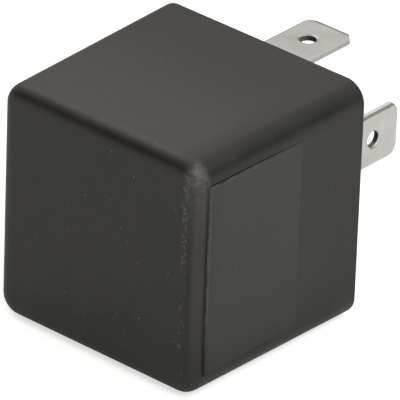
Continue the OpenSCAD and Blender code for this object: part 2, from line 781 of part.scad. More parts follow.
// One sheet: down the back of the yoke, over the hinge edge and along the armature
module contact_spring() {
    color("#c98f4e") lay() difference() {
        across(spring_wide) polygon(spring_profile());
        // Window between the two hinge legs
        across(spring_window) polygon([[spring_back - over, spring_leg_z],
            [yoke_back + over, spring_leg_z], beside_armature(spring_root, armature_t / 2),
            beside_armature(spring_root, leaf_n + over), [spring_back - over, pivot_z + leaf_n]]);
        on_armature() {
            linear_extrude(leaf_n + over) spring_offcuts();
            translate([0, contact_s, 0])
                cylinder(r = stem_r, h = leaf_n + over, $fn = fine);
            for (sx = [-1, 1])
                translate([sx * rivet_x, rivet_s, 0])
                    cylinder(r = rivet_r, h = leaf_n + over, $fn = fine);
        }
        for (sx = [-1, 1])
            translate([sx * rivet_x, spring_back - over, yoke_rivet_z]) rotate([-90, 0, 0])
                cylinder(r = rivet_r + rivet_gap, h = spring_t + 2 * over, $fn = fine);
    }
}

// Points along an arc round centre c, from angle a0 to angle a1
function arc(c, r, a0, a1) =
    [for (i = [0 : bend_steps]) let (a = a0 + (a1 - a0) * i / bend_steps) c + r * [cos(a), sin(a)]];

// A point beside the armature: s along it from the hinge edge, n above its underside
function beside_armature(s, n) = [pivot_y, pivot_z]
    + s * [cos(armature_tilt), sin(armature_tilt)] + n * [-sin(armature_tilt), cos(armature_tilt)];

// The sheet seen from the side
function spring_profile() =
    let (centre = [pivot_y + bend_y, pivot_z + bend_z], end = contact_s + spring_tip_r + over)
    concat([[yoke_back, spring_end_z]],
        arc(centre, spring_bend_r, 180, 90 + armature_tilt),
        [beside_armature(end, armature_t), beside_armature(end, leaf_n)],
        arc(centre, spring_bend_r + spring_t, 90 + armature_tilt, 180),
        [[spring_back, spring_end_z]]);

// What is cut off beside the narrow neck and the round tip
module spring_offcuts() {
    waist = rivet_s + waist_set;
    neck = waist + neck_run;
    half = spring_wide / 2;
    difference() {
        translate([-half - over, waist]) square([spring_wide + 2 * over, contact_s]);
        polygon(concat([[half, waist - over], [half, waist], [spring_tip_r, neck]],
            arc([0, contact_s], spring_tip_r, 0, 180),
            [[-spring_tip_r, neck], [-half, waist], [-half, waist - over]]));
    }
}

// A contact head on z = 0 with a domed face
module domed_head(r, t) {
    intersection() {
        cylinder(r = r, h = t, $fn = fine);
        translate([0, 0, t - contact_dome_r]) sphere(contact_dome_r, $fn = fine);
    }
}

module moving_contact() {
    color("#dcdcd8") lay() on_armature() translate([0, contact_s, armature_t]) {
        translate([0, 0, spring_t]) domed_head(contact_r, contact_t);
        rotate([180, 0, 0]) domed_head(contact_r, contact_t);
        cylinder(r = stem_r, h = spring_t, $fn = fine);
    }
}

// A fixed contact: head towards +z, stem through the strip below it, closed head behind
module fixed_contact() {
    translate([0, 0, -contact_t]) cylinder(r = contact_r, h = contact_t, $fn = fine);
    translate([0, 0, -contact_t - blade_t]) cylinder(r = stem_r, h = blade_t, $fn = fine);
    translate([0, 0, -contact_t - blade_t - tail_t])
        cylinder(r1 = stem_r, r2 = stem_r + tail_t, h = tail_t, $fn = fine);
}

module fixed_contact_make() {
    color("#dcdcd8") lay() translate([0, contact_row, make_face_z]) fixed_contact();
}

module fixed_contact_break() {
    color("#dcdcd8") lay() translate([0, break_row, break_face_z])
        rotate([180, 0, 0]) fixed_contact();
}

// A rivet: head above z = 0, stem down to z = -grip
module rivet(grip, hole_r) {
    cylinder(r1 = rivet_head_r, r2 = rivet_top_r, h = rivet_head_t, $fn = fine);
    translate([0, 0, -grip]) cylinder(r = hole_r, h = grip, $fn = fine);
}

module yoke_rivets() {
    color("#a9aba8") lay() for (sx = [-1, 1])
        translate([sx * rivet_x, spring_back - rivet_gap / 2, yoke_rivet_z])
            rotate([90, 0, 0]) rivet(spring_t + rivet_gap / 2 + yoke_t, rivet_r);
}

module armature_rivets() {
    color("#a9aba8") lay() on_armature() for (sx = [-1, 1])
        translate([sx * rivet_x, rivet_s, leaf_n]) {
            rivet(leaf_n, rivet_r);
            translate([0, 0, -leaf_n - rivet_head_t])
                cylinder(r1 = rivet_top_r, r2 = rivet_head_r, h = rivet_head_t, $fn = fine);
        }
}

cap();
base();
terminal_30();
terminal_85();
terminal_86();
terminal_87();
terminal_87a();
yoke();
core();
bobbin();
coil_winding();
armature();
contact_spring();
moving_contact();
fixed_contact_make();
fixed_contact_break();
yoke_rivets();
armature_rivets();
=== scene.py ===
import json
import math

import bmesh
import bpy
from mathutils import Matrix, Vector

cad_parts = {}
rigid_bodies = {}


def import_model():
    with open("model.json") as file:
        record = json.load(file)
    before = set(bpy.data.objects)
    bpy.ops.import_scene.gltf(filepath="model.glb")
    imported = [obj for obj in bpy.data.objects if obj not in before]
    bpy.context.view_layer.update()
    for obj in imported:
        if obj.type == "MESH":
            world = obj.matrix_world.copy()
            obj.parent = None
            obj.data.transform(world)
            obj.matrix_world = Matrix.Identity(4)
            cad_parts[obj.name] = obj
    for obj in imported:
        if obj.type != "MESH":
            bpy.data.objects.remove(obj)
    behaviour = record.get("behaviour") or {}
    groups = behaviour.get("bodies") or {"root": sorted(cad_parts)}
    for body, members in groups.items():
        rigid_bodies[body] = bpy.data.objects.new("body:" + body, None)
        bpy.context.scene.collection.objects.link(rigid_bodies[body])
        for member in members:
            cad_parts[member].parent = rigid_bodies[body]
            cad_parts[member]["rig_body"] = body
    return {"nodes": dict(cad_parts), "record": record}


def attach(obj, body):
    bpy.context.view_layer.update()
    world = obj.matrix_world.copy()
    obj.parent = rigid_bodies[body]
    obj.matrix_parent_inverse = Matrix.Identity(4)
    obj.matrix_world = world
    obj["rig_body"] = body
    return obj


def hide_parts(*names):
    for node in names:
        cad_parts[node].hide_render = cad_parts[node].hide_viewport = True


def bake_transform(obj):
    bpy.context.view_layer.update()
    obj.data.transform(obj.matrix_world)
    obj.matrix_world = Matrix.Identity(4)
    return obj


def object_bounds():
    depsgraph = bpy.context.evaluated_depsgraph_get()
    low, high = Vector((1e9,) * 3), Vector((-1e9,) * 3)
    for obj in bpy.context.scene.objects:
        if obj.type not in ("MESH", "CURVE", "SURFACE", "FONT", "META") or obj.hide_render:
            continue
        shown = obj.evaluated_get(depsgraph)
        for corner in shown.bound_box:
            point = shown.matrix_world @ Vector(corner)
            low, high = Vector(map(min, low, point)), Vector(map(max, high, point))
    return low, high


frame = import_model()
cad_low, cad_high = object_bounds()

MM = 0.001
NODES = frame["nodes"]

# ---------------------------------------------------------------- sizes of the relay, in mm
CAP_HALF_W, CAP_HALF_H = 14.0, 13.85  # at the rim
CROWN_HALF_W, CROWN_HALF_H = 13.5, 13.6
CAP_DEPTH = 25.4
CAP_WALL = 1.2
LONG_EDGE_R = 2.4
CROWN_EDGE_R = 2.05  # a soft-shouldered edge, fuller than a quarter circle
CROWN_EDGE_FULLNESS = 2.7
RIM_EDGE_R = 0.12
PANEL_INSET = 1.65
PANEL_RUN = 16.0
PANEL_MARGIN = 0.25
PANEL_HALF_H = CROWN_HALF_H - LONG_EDGE_R - PANEL_MARGIN
PANEL_CORNER_R = 0.4
PANEL_STEP_W = 0.06  # width of the panel's drafted wall
CAVITY_EDGE_R = (LONG_EDGE_R - CAP_WALL) / 2
BLADE_LEN = 11.5
LATCH_HOLE_TIP = 4.0
LATCH_HOLE_D = 1.8
COIL_ROW = -0.7
FLANGE_T = 0.9
BOBBIN_BARREL_R = 4.3
WINDING_R = 7.2
COIL_WIRE_R = 0.12
TAG_X = 9.0
TAG_ROW = 4.8
TAG_T = 0.8
TAG_W = 2.2
LEAD_R = 0.2
WRAP_TURNS = 4
WRAP_Y = -8.1  # first turn round a tag

BODY_OF = {n: o["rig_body"] for n, o in NODES.items()}


# ---------------------------------------------------------------- node material helpers
def new_material(name):
    mat = bpy.data.materials.new(name)
    mat.use_nodes = True
    tree = mat.node_tree
    tree.nodes.clear()
    out = tree.nodes.new("ShaderNodeOutputMaterial")
    shader = tree.nodes.new("ShaderNodeBsdfPrincipled")
    tree.links.new(shader.outputs[0], out.inputs[0])
    return mat, tree, shader


def add(tree, kind, **settings):
    node = tree.nodes.new(kind)
    for key, value in settings.items():
        setattr(node, key, value)
    return node


def put(node, **values):
    for key, value in values.items():
        node.inputs[key.replace("_", " ")].default_value = value
    return node


def object_coords(tree):
    return add(tree, "ShaderNodeTexCoord").outputs["Object"]


def noise(tree, coords, scale, detail=2.0, rough=0.5, stretch=None):
    if stretch:
        mapping = add(tree, "ShaderNodeMapping")
        mapping.inputs["Scale"].default_value = stretch
        tree.links.new(coords, mapping.inputs["Vector"])
        coords = mapping.outputs[0]
    tex = add(tree, "ShaderNodeTexNoise")
    put(tex, Scale=scale, Detail=detail, Roughness=rough)
    tree.links.new(coords, tex.inputs["Vector"])
    return tex.outputs["Fac"]


def ramp(tree, value, stops):
    node = add(tree, "ShaderNodeValToRGB")
    while len(node.color_ramp.elements) < len(stops):
        node.color_ramp.elements.new(0.5)
    for element, (place, colour) in zip(node.color_ramp.elements, stops):
        element.position = place
        c = colour if isinstance(colour, tuple) else (colour,) * 3
        element.color = (*c, 1.0)
    tree.links.new(value, node.inputs[0])
    return node.outputs[0]


def math_node(tree, op, a, b=None):
    node = add(tree, "ShaderNodeMath", operation=op)
    for i, v in enumerate((a, b)):
        if v is None:
            continue
        if isinstance(v, (int, float)):
            node.inputs[i].default_value = v
        else:
            tree.links.new(v, node.inputs[i])
    return node.outputs[0]


def mix_colour(tree, fac, a, b):
    node = add(tree, "ShaderNodeMix", data_type="RGBA", blend_type="MIX")
    for name, v in (("Factor", fac), ("A", a), ("B", b)):
        sockets = [s for s in node.inputs if s.name == name and s.enabled]
        socket = sockets[0]
        if isinstance(v, (int, float)):
            socket.default_value = v
        elif isinstance(v, tuple):
            socket.default_value = (*v, 1.0)
        else:
            tree.links.new(v, socket)
    return [s for s in node.outputs if s.enabled][0]


def bump(tree, height, strength, distance_mm):
    node = add(tree, "ShaderNodeBump")
    node.inputs["Strength"].default_value = strength
    node.inputs["Distance"].default_value = distance_mm * MM
    tree.links.new(height, node.inputs["Height"])
    return node.outputs[0]


# ---------------------------------------------------------------- materials
def band(tree, value, low, high, soft):
    """1 where value (in mm) lies between low and high, fading to 0 over soft mm."""
    up = add(tree, "ShaderNodeMapRange", interpolation_type="SMOOTHSTEP")
    down = add(tree, "ShaderNodeMapRange", interpolation_type="SMOOTHSTEP")
    for node, start, end in ((up, low - soft, low), (down, high + soft, high)):
        tree.links.new(value, node.inputs["Value"])
        node.inputs["From Min"].default_value = min(start, end)
        node.inputs["From Max"].default_value = max(start, end)
    down.inputs["To Min"].default_value = 1.0
    down.inputs["To Max"].default_value = 0.0
    return math_node(tree, "MULTIPLY", up.outputs[0], down.outputs[0])


def times(tree, *factors):
    total = factors[0]
    for factor in factors[1:]:
        total = math_node(tree, "MULTIPLY", total, factor)
    return total


# Colours of the cap's finish, and of the light, shade and highlights painted on it
BLACK_LOW, BLACK_HIGH = (0.0075, 0.0070, 0.0064), (0.0170, 0.0162, 0.0152)
TOP_SIDE_LIGHT_TINT = (0.036, 0.0325, 0.0295)
PANEL_GREY_AND_LIGHT = (0.0275, 0.028, 0.028)
UPRIGHT_EDGE_HIGHLIGHT = (0.040, 0.039, 0.037)
PANEL_LIP_HIGHLIGHT = (0.080, 0.078, 0.075)
SHADOW_LINE = (0.0015, 0.0015, 0.0015)
RUBBED_AND_HIGHLIGHT = (0.085, 0.083, 0.079)
EDGE_DOT_GREY = (0.085, 0.083, 0.078)
SPECK = (0.18, 0.175, 0.17)


def cap_plastic():
    """Near-black moulded plastic: fine texture, a greyer label panel, worn edges and dust specks,
    with painted light, shade and highlights on the top side, the panel and the edges.
    """
    mat, tree, shader = new_material("cap_plastic")
    co = object_coords(tree)
    axes = add(tree, "ShaderNodeSeparateXYZ")
    tree.links.new(co, axes.inputs[0])
    x, y, z = (math_node(tree, "DIVIDE", axis, MM) for axis in axes.outputs)
    depth = math_node(tree, "ADD", y, CAP_DEPTH)  # from the crown
    height = math_node(tree, "ABSOLUTE", z)

    grain = noise(tree, co, 5200, 2.0, 0.6)
    fleck = noise(tree, co, 2300, 2.0, 0.5)
    cloud = noise(tree, co, 160, 3.0, 0.55)
    mottle = math_node(tree, "ADD", times(tree, cloud, 0.55), times(tree, fleck, 0.45))
    base = ramp(tree, mottle, [(0.36, BLACK_LOW), (0.64, BLACK_HIGH)])

    # Painted light: the side that lies on top is painted lighter and warmer, fading towards its +X
    # edge and along its length, patchy with the cloud noise
    slope = (CAP_HALF_H - CROWN_HALF_H) / CAP_DEPTH
    level = math_node(tree, "SUBTRACT", z, times(tree, depth, slope))
    top_side_light = times(tree, band(tree, level, CROWN_HALF_H - 0.05, 20, 0.25),
                 band(tree, depth, 3.4, 3.5, 20), band(tree, x, -20, CROWN_HALF_W - 5.0, 3.5),
                 ramp(tree, cloud, [(0.3, 0.75), (0.7, 1.0)]))
    base = mix_colour(tree, top_side_light, base, TOP_SIDE_LIGHT_TINT)

    # The label panel is greyer, with painted light on it at mid-length and up its height and
    # painted shade towards its bottom and ends; a painted highlight runs as a light line just
    # inside its edge
    on_side = band(tree, x, CROWN_HALF_W - 1.2, 20, 0.2)
    inset = math_node(tree, "MINIMUM", math_node(tree, "SUBTRACT", depth, PANEL_INSET),
                      math_node(tree, "SUBTRACT", PANEL_HALF_H, height))
    panel_grey_and_light = times(tree, on_side, band(tree, inset, 0.12, 40, 0.06),
                  math_node(tree, "ADD", times(tree, band(tree, depth, 0, PANEL_RUN, 0.12), 0.5),
                            times(tree, band(tree, depth, 0, PANEL_RUN - 2, 8), 0.5)),
                  band(tree, z, -1, 20, 16), band(tree, depth, 5, 40, 8))
    foot = times(tree, on_side, band(tree, inset, -0.15, -0.05, 0.04),
                 band(tree, depth, 0, 8, 7))
    crease = times(tree, on_side, band(tree, inset, 0, 40, 0.06),
                   band(tree, depth, PANEL_RUN - 0.06, PANEL_RUN + 0.02, 0.1), 0.6)
    # Painted highlight along the upright edge where the crown meets the +X side, fading in its
    # lower half
    upright_highlight = times(tree, band(tree, x, CROWN_HALF_W - 0.5, 20, 0.5),
                   band(tree, depth, 0.15, 1.0, 0.35), band(tree, z, 0, 12.0, 14), 0.55)
    # Painted highlight: a light line along the panel's edge near the crown, fading away from the
    # crown and towards the bottom
    lip_highlight = times(tree, on_side, band(tree, inset, 0.0, 0.08, 0.05), band(tree, depth, 0, 7, 7),
                band(tree, z, -4, 20, 6),
                ramp(tree, noise(tree, co, 900, 2.0, 0.6), [(0.35, 0.25), (0.6, 1.0)]))
    colour = mix_colour(tree, panel_grey_and_light, base, PANEL_GREY_AND_LIGHT)
    colour = mix_colour(tree, upright_highlight, colour, UPRIGHT_EDGE_HIGHLIGHT)
    colour = mix_colour(tree, lip_highlight, colour, PANEL_LIP_HIGHLIGHT)
    colour = mix_colour(tree, math_node(tree, "MAXIMUM", foot, crease), colour, SHADOW_LINE)

    # Handling has rubbed the crown's corner and the upright edge below it; the lightening there is
    # partly wear and partly a painted highlight
    on_edge = times(tree, band(tree, x, CROWN_HALF_W - 1.3, 20, 1.0),
                    band(tree, depth, -1, 1.3, 0.9), band(tree, z, 12.6, 20, 9.0))
    corner = times(tree, band(tree, x, CROWN_HALF_W - 1.2, 20, 1.0),
                   band(tree, depth, -1, 1.2, 1.0), band(tree, z, CROWN_HALF_H - 1.6, 20, 1.6))
    rub_and_highlight = math_node(tree, "ADD", times(tree, on_edge, 0.45), times(tree, corner, 0.4))
    rub_and_highlight = times(tree, rub_and_highlight, ramp(tree, fleck, [(0.38, 0.35), (0.62, 1.0)]))
    colour = mix_colour(tree, rub_and_highlight, colour, RUBBED_AND_HIGHLIGHT)

    # Light dots along the foot of the upright edge, denser above 3.5 mm height, and a few specks
    # of dust everywhere
    edge_dot_line = times(tree, band(tree, x, CROWN_HALF_W - 1.95, CROWN_HALF_W - 1.45, 0.15),
                      band(tree, depth, -1, 0.8, 0.1), band(tree, height, 0, 12.4, 0.5))
    scatter = noise(tree, co, 3300, 1.0, 0.5)
    edge_dots = times(tree, edge_dot_line, math_node(
        tree, "MAXIMUM",
        times(tree, ramp(tree, scatter, [(0.52, 0.0), (0.62, 0.75)]), band(tree, z, 3.5, 20, 3.0)),
        ramp(tree, scatter, [(0.63, 0.0), (0.70, 1.0)])))
    colour = mix_colour(tree, edge_dots, colour, EDGE_DOT_GREY)
    specks = ramp(tree, noise(tree, co, 3600, 0.0, 0.0), [(0.872, 0.0), (0.904, 1.0)])
    colour = mix_colour(tree, specks, colour, SPECK)
    tree.links.new(colour, shader.inputs["Base Color"])

    rough = ramp(tree, mottle, [(0.36, 0.385), (0.64, 0.475)])
    rough = mix_colour(tree, foot, rough, (0.95, 0.95, 0.95))
    tree.links.new(rough, shader.inputs["Roughness"])
    shader.inputs["Specular IOR Level"].default_value = 0.5
    tree.links.new(bump(tree, grain, 0.35, 0.03), shader.inputs["Normal"])
    return mat


def moulded(name, colour, rough, grain_scale=3000, strength=0.2):
    mat, tree, shader = new_material(name)
    co = object_coords(tree)
    cloud = noise(tree, co, 220, 3.0, 0.55)
    darker = tuple(c * 0.82 for c in colour)
    tree.links.new(ramp(tree, cloud, [(0.3, darker), (0.7, colour)]), shader.inputs["Base Color"])
    tree.links.new(
        ramp(tree, cloud, [(0.3, rough - 0.04), (0.7, rough + 0.05)]), shader.inputs["Roughness"]
    )
    tree.links.new(
        bump(tree, noise(tree, co, grain_scale, 2.0, 0.6), strength, 0.02), shader.inputs["Normal"]
    )
    return mat


def metal(name, colour, rough, along):
    """Rolled or plated metal: fine lines along the given direction, cloudy plating."""
    mat, tree, shader = new_material(name)
    shader.inputs["Metallic"].default_value = 1.0
    co = object_coords(tree)
    lines = noise(tree, co, 900, 3.0, 0.6, stretch=along)
    cloud = noise(tree, co, 420, 4.0, 0.6)
    dull = tuple(c * 0.85 for c in colour)
    tree.links.new(ramp(tree, cloud, [(0.3, dull), (0.7, colour)]), shader.inputs["Base Color"])
    rough_mix = math_node(tree, "MULTIPLY", math_node(tree, "ADD", lines, cloud), 0.5)
    tree.links.new(
        ramp(tree, rough_mix, [(0.3, rough - 0.06), (0.7, rough + 0.07)]),
        shader.inputs["Roughness"],
    )
    tree.links.new(bump(tree, lines, 0.12, 0.01), shader.inputs["Normal"])
    return mat


MATERIALS = {
    "cap_plastic": cap_plastic(),
    "base_plastic": moulded("base_plastic", (0.016, 0.0155, 0.015), 0.5),
    "tinned_blade": metal("tinned_blade", (0.60, 0.603, 0.582), 0.36, (1.0, 0.12, 1.0)),
    # A lighter copy of the tinned blade metal, painted light for the blades 85 and 86
    "tinned_blade_lit_copy": metal("tinned_blade_lit_copy", (0.815, 0.822, 0.795), 0.36, (1.0, 0.12, 1.0)),
    "magnet_iron": metal("magnet_iron", (0.56, 0.57, 0.56), 0.34, (1.0, 1.0, 0.2)),
    "bobbin_plastic": moulded("bobbin_plastic", (0.62, 0.58, 0.46), 0.42, 2400, 0.1),
    "coil_copper": metal("coil_copper", (0.55, 0.22, 0.09), 0.3, (1.0, 1.0, 1.0)),
    "spring_bronze": metal("spring_bronze", (0.66, 0.42, 0.20), 0.28, (0.2, 1.0, 1.0)),
    "punched_edge_and_shade": metal("punched_edge_and_shade", (0.20, 0.19, 0.17), 0.5, (1.0, 1.0, 1.0)),
    "contact_silver": metal("contact_silver", (0.82, 0.82, 0.80), 0.22, (1.0, 1.0, 1.0)),
}
SLOT_OF = {row["node"]: row["material_slot"] for row in frame["record"]["subparts"]}


# ---------------------------------------------------------------- mesh helpers
def link_mesh(name, mesh, body, slot, replaces=()):
    """Puts a finished mesh in the scene. With the body across_hinge its placement is baked into
    the mesh and it joins no body.
    """
    piece = bpy.data.objects.new(name, mesh)
    bpy.context.scene.collection.objects.link(piece)
    mesh.materials.clear()
    mesh.materials.append(MATERIALS[slot])
    if body == "across_hinge":
        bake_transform(piece)
    else:
        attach(piece, body)
    if replaces:
        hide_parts(*replaces)
    return piece


def smooth(mesh, angle_deg=32):
    mesh.shade_smooth()
    mesh.set_sharp_from_angle(angle=math.radians(angle_deg))


def mesh_from_bmesh(name, bm):
    mesh = bpy.data.meshes.new(name)
    bm.to_mesh(mesh)
    bm.free()
    return mesh


def softened(node, name, round_mm, body=None, merge_flats=True):
    """A copy of a CAD node with its sharp edges slightly rounded, as pressed or moulded."""
    source = NODES[node]
    bm = bmesh.new()
    bm.from_mesh(source.data)
    bmesh.ops.remove_doubles(bm, verts=bm.verts, dist=0.0005 * MM)
    if merge_flats:
        bmesh.ops.dissolve_limit(
            bm, angle_limit=math.radians(1.0), verts=bm.verts, edges=bm.edges
        )
    mesh = mesh_from_bmesh(name, bm)
    piece = bpy.data.objects.new(name, mesh)
    bpy.context.scene.collection.objects.link(piece)
    edge = piece.modifiers.new("edge", "BEVEL")
    edge.width = round_mm * MM
    edge.segments = 2
    edge.limit_method = "ANGLE"
    edge.angle_limit = math.radians(25)
    edge.use_clamp_overlap = True
    edge.harden_normals = True
    edge.miter_outer = "MITER_ARC"
    graph = bpy.context.evaluated_depsgraph_get()
    finished = bpy.data.meshes.new_from_object(piece.evaluated_get(graph))
    bpy.data.objects.remove(piece)
    finished.name = name
    if not finished.has_custom_normals:
        smooth(finished)
    return link_mesh(name, finished, body or BODY_OF[node], SLOT_OF[node], (node,))


# ---------------------------------------------------------------- cap
def spread(stops):
    """Points from pairs of (end value, number of steps) after a start value."""
    points = [stops[0]]
    for end, steps in stops[1:]:
        start = points[-1]
        points += [start + (end - start) * i / steps for i in range(1, steps + 1)]
    return points


PANEL_ROWS = spread(
    [0.0, (8.0, 10), (PANEL_HALF_H - 0.6, 5), (PANEL_HALF_H - 0.1, 14), (PANEL_HALF_H + 0.14, 12)]
)
CORNER_STEPS = 14
FLAT_STEPS = 26


def ring(half_w, half_h, r):
    """Rounded rectangle in (x, z), anticlockwise from the lower end of the +X side."""
    fx, fz = half_w - r, half_h - r
    rows = PANEL_ROWS + spread([PANEL_ROWS[-1], (fz, 3)])[1:]
    points = [(half_w, z) for z in [-z for z in reversed(rows[1:])] + rows]
    for i in range(1, CORNER_STEPS + 1):
        a = math.pi / 2 * i / CORNER_STEPS
        points.append((fx + r * math.cos(a), fz + r * math.sin(a)))
    for i in range(1, FLAT_STEPS):
        points.append((fx - 2 * fx * i / FLAT_STEPS, half_h))
    for i in range(CORNER_STEPS + 1):
        a = math.pi / 2 * (1 + i / CORNER_STEPS)
        points.append((-fx + r * math.cos(a), fz + r * math.sin(a)))
    for i in range(1, FLAT_STEPS):
        points.append((-half_w, fz - 2 * fz * i / FLAT_STEPS))
    for i in range(CORNER_STEPS + 1):
        a = math.pi + math.pi / 2 * i / CORNER_STEPS
        points.append((-fx + r * math.cos(a), -fz + r * math.sin(a)))
    for i in range(1, FLAT_STEPS):
        points.append((-fx + 2 * fx * i / FLAT_STEPS, -half_h))
    for i in range(CORNER_STEPS):
        a = -math.pi / 2 + math.pi / 2 * i / CORNER_STEPS
        points.append((fx + r * math.cos(a), -fz + r * math.sin(a)))
    return points


def panel_lift(s, z):
    """Share of the label panel's step at distance s from the crown and height z."""
    dx = abs(z) - (PANEL_HALF_H - PANEL_CORNER_R)
    dy = (PANEL_INSET + PANEL_CORNER_R) - s
    if dx > 0 and dy > 0:
        d = PANEL_CORNER_R - math.hypot(dx, dy)
    else:
        d = PANEL_CORNER_R - max(dx, dy)
    t = min(1.0, max(0.0, d / PANEL_STEP_W + 0.5))
    return t * t * (3 - 2 * t)


def cap_outside():
    """Rings of the outside from the crown to the rim, as lists of (x, y, z) in mm."""
    rings = []
    angles = [90 - 5 * i for i in range(19)]
    levels = [CROWN_EDGE_R * (1 - math.sin(math.radians(a)) ** (2 / CROWN_EDGE_FULLNESS))
              for a in angles]
    levels += spread([PANEL_INSET - PANEL_STEP_W, (PANEL_INSET + 0.46, 26), (3, 4),
                      (PANEL_RUN - 0.4, 26), (PANEL_RUN - 0.1, 2), (PANEL_RUN + 0.1, 4),
                      (PANEL_RUN + 0.5, 2), (CAP_DEPTH - 0.4, 12), (CAP_DEPTH - RIM_EDGE_R, 2)])
    panel_x = CROWN_HALF_W + (CAP_HALF_W - CROWN_HALF_W) * PANEL_RUN / CAP_DEPTH
    for s in sorted(set(round(v, 5) for v in levels)):
        share = max(s, CROWN_EDGE_R) / CAP_DEPTH
        half_w = CROWN_HALF_W + (CAP_HALF_W - CROWN_HALF_W) * share
        half_h = CROWN_HALF_H + (CAP_HALF_H - CROWN_HALF_H) * share
        inset = 0.0
        if s < CROWN_EDGE_R:
            depth = 1 - s / CROWN_EDGE_R
            inset = CROWN_EDGE_R * (
                1 - (1 - depth ** CROWN_EDGE_FULLNESS) ** (1 / CROWN_EDGE_FULLNESS)
            )
        points = []
        for i, (x, z) in enumerate(ring(half_w - inset, half_h - inset, LONG_EDGE_R - inset)):
            if x > 0 and abs(z) <= PANEL_ROWS[-1] + 0.001 and s < PANEL_RUN and panel_x > x:
                x += (panel_x - x) * panel_lift(s, z)
            points.append((x, s - CAP_DEPTH, z))
        rings.append(points)
    for a in (30, 60, 90):
        inset = RIM_EDGE_R * (1 - math.cos(math.radians(a)))
        s = CAP_DEPTH - RIM_EDGE_R * (1 - math.sin(math.radians(a)))
        rings.append([(x, s - CAP_DEPTH, z) for x, z in
                      ring(CAP_HALF_W - inset, CAP_HALF_H - inset, LONG_EDGE_R - inset)])
    return rings


def cap_inside():
    """Rings of the cavity from the rim to its floor."""
    rings = []
    r = LONG_EDGE_R - CAP_WALL
    for s in spread([CAP_DEPTH, (CAP_WALL + CAVITY_EDGE_R, 8)]):
        share = s / CAP_DEPTH
        half_w = CROWN_HALF_W + (CAP_HALF_W - CROWN_HALF_W) * share - CAP_WALL
        half_h = CROWN_HALF_H + (CAP_HALF_H - CROWN_HALF_H) * share - CAP_WALL
        rings.append([(x, s - CAP_DEPTH, z) for x, z in ring(half_w, half_h, r)])
    for a in (30, 60, 90):
        inset = CAVITY_EDGE_R * (1 - math.cos(math.radians(a)))
        s = CAP_WALL + CAVITY_EDGE_R * (1 - math.sin(math.radians(a)))
        half_w = CROWN_HALF_W - CAP_WALL - inset
        half_h = CROWN_HALF_H - CAP_WALL - inset
        rings.append([(x, s - CAP_DEPTH, z) for x, z in ring(half_w, half_h, r - inset)])
    return rings


def make_cap():
    rings = cap_outside() + cap_inside()
    bm = bmesh.new()
    rows = [[bm.verts.new((x * MM, y * MM, z * MM)) for x, y, z in points] for points in rings]
    n = len(rows[0])
    for low, high in zip(rows, rows[1:]):
        for i in range(n):
            j = (i + 1) % n
            bm.faces.new((low[i], low[j], high[j], high[i]))
    for row in (rows[0], rows[-1]):
        lid = bm.faces.new(row)
        bmesh.ops.inset_region(bm, faces=[lid], thickness=0.05 * MM)
    bmesh.ops.recalc_face_normals(bm, faces=bm.faces)
    mesh = mesh_from_bmesh("relay_cap", bm)
    smooth(mesh)
    return link_mesh("relay_cap", mesh, "housing", "cap_plastic", ("cap",))


make_cap()

# ---------------------------------------------------------------- base, terminals and magnet
def darken_punched_hole(blade):
    """Bare metal on the wall of the latch hole, where the punch cut through the plating, darkened
    further as painted shade inside the hole.
    """
    mesh = blade.data
    mesh.materials.append(MATERIALS["punched_edge_and_shade"])
    hole_y = (BLADE_LEN - LATCH_HOLE_TIP) * MM
    reach = (LATCH_HOLE_D / 2 + 0.03) * MM
    tip = [v.co for v in mesh.vertices if v.co.y > (BLADE_LEN - 0.5) * MM]
    row = sum(c.z for c in tip) / len(tip)
    column = sum(c.x for c in tip) / len(tip)
    flat_on_side = abs(column) > 5 * MM
    for face in mesh.polygons:
        c = face.center
        off = c.z - row if flat_on_side else c.x - column
        across = face.normal.x if flat_on_side else face.normal.z
        if math.hypot(off, c.y - hole_y) < reach and abs(across) < 0.4:
            face.material_index = 1


softened("base", "relay_base", 0.12, merge_flats=False)
for blade in ("terminal_30", "terminal_85", "terminal_86", "terminal_87", "terminal_87a"):
    piece = softened(blade, "tinned_" + blade, 0.05)
    # Blades 85 and 86 get the lighter, painted-light copy of the tinned metal
    if blade in ("terminal_85", "terminal_86"):
        piece.data.materials[0] = MATERIALS["tinned_blade_lit_copy"]
    darken_punched_hole(piece)
for node, name, width in (
    ("yoke", "magnet_yoke", 0.1),
    ("core", "magnet_core", 0.1),
    ("bobbin", "coil_bobbin", 0.12),
    ("armature", "magnet_armature", 0.08),
    ("moving_contact", "silver_moving_contact", 0.05),
    ("fixed_contact_make", "silver_make_contact", 0.08),
    ("fixed_contact_break", "silver_break_contact", 0.08),
    ("yoke_rivets", "yoke_rivet_pair", 0.06),
    ("armature_rivets", "armature_rivet_pair", 0.06),
):
    softened(node, name, width)
softened("contact_spring", "leaf_spring", 0.03, body="across_hinge")


